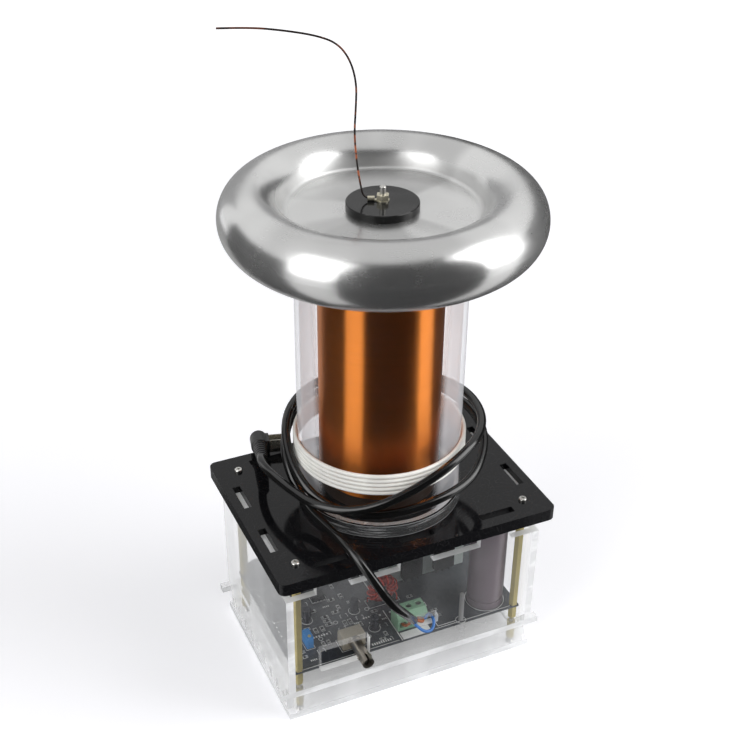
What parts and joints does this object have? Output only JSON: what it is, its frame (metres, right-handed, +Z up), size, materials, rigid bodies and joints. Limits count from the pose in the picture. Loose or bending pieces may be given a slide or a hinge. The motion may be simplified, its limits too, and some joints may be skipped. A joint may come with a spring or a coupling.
{
  "type": "desktop resonant transformer",
  "caption": "Desktop resonant transformer with a clear sheet case, black top plate, copper winding in a clear tube, spun toroid, breakout wire and a cord wound round the tube.",
  "frame": {"origin": "the middle of the base plate's underside, on the table, under the tube's axis", "axes": "+Z up along the tube, +X along the case's long side, to the right seen from the front, -Y out of the front wall, where the cord enters"},
  "size_m": [0.2006, 0.2006, 0.4503],
  "materials": {
    "clear_acrylic": "clear, polished faces, pale frosted cut edges",
    "black_acrylic": "polished black sheet",
    "brass": "satin",
    "steel": "satin, bright plated",
    "board": "dark solder mask",
    "dark_plastic": "moulded, satin",
    "ferrite": "dark red coated ring",
    "gate_wire": "insulated wire",
    "copper_winding": "varnished fine copper turns",
    "primary_wire": "insulated wire, off-white",
    "aluminium": "spun, fine circular lines",
    "heatsink": "matt extruded",
    "green_plastic": "moulded",
    "blue_plastic": "moulded",
    "capacitor_sleeve": "heat-shrunk sleeve",
    "small_sleeve": "heat-shrunk sleeve",
    "receiver_metal": "nickel plated, satin",
    "receiver_body": "moulded",
    "cord_rubber": "smooth, slightly glossy",
    "core_brown": "insulated wire",
    "core_blue": "insulated wire",
    "plug_blade": "nickel plated",
    "breakout_wire": "dark wire with bare copper flecks",
    "grey_plastic": "moulded",
    "cap_plastic": "moulded"
  },
  "bodies": {
    "case": {"back_wall": "clear_acrylic", "base_plate": "clear_acrylic", "base_screws": "steel", "board_post": "grey_plastic", "bridge_rectifier": "dark_plastic", "bulk_capacitors": "small_sleeve", "circuit_board": "board", "control_chips": "dark_plastic", "core_blue": "core_blue", "core_brown": "core_brown", "disc_screws": "steel", "former_lower_cap": "cap_plastic", "former_upper_cap": "cap_plastic", "front_wall": "clear_acrylic", "gate_transformer_core": "ferrite", "gate_transformer_winding": "gate_wire", "heatsink": "heatsink", "large_capacitor": "capacitor_sleeve", "long_standoffs": "brass", "lower_standoffs": "brass", "lower_wall_back": "clear_acrylic", "lower_wall_front": "clear_acrylic", "mains_cord": "cord_rubber", "mid_floor": "clear_acrylic", "outer_tube": "clear_acrylic", "plug_blades": "plug_blade", "plug_body": "cord_rubber", "power_devices": "dark_plastic", "primary_winding": "primary_wire", "receiver_barrel": "receiver_metal", "receiver_housing": "receiver_body", "secondary_former": "cap_plastic", "secondary_winding": "copper_winding", "short_standoffs": "brass", "side_wall_left": "clear_acrylic", "side_wall_right": "clear_acrylic", "small_capacitors": "small_sleeve", "stud": "steel", "stud_lower_nut": "steel", "stud_top_nut": "steel", "surface_parts": "dark_plastic", "terminal_block": "green_plastic", "top_disc": "black_acrylic", "top_plate": "black_acrylic", "top_screws": "steel", "toroid_lower": "aluminium", "toroid_upper": "aluminium", "trimmer_body": "blue_plastic", "tube_base_disc": "clear_acrylic"},
    "electrode": {"ring_terminal": "steel", "breakout_wire": "breakout_wire"},
    "adjuster": {"trimmer_screw": "plug_blade"},
    "clamp_screw_1": {"terminal_screw_1": "steel"},
    "clamp_screw_2": {"terminal_screw_2": "steel"},
    "clamp_screw_3": {"terminal_screw_3": "steel"}
  },
  "joints": [
    {"name": "electrode_swivel", "type": "hinge", "parent": "case", "child": "electrode", "pos_m": [0, 0, 0.3453], "axis": [0, 0, 1], "continuous": true},
    {"name": "trimmer_turn", "type": "hinge", "parent": "case", "child": "adjuster", "pos_m": [-0.068, -0.037, 0.046], "axis": [0, 0, 1], "continuous": true},
    {"name": "clamp_screw_1_turn", "type": "hinge", "parent": "case", "child": "clamp_screw_1", "pos_m": [-0.00162, -0.0402, 0.048], "axis": [0, 0, 1], "range_deg": [0, 1440]},
    {"name": "clamp_screw_2_turn", "type": "hinge", "parent": "case", "child": "clamp_screw_2", "pos_m": [0.006, -0.0402, 0.048], "axis": [0, 0, 1], "range_deg": [0, 1440]},
    {"name": "clamp_screw_3_turn", "type": "hinge", "parent": "case", "child": "clamp_screw_3", "pos_m": [0.01362, -0.0402, 0.048], "axis": [0, 0, 1], "range_deg": [0, 1440]}
  ]
}
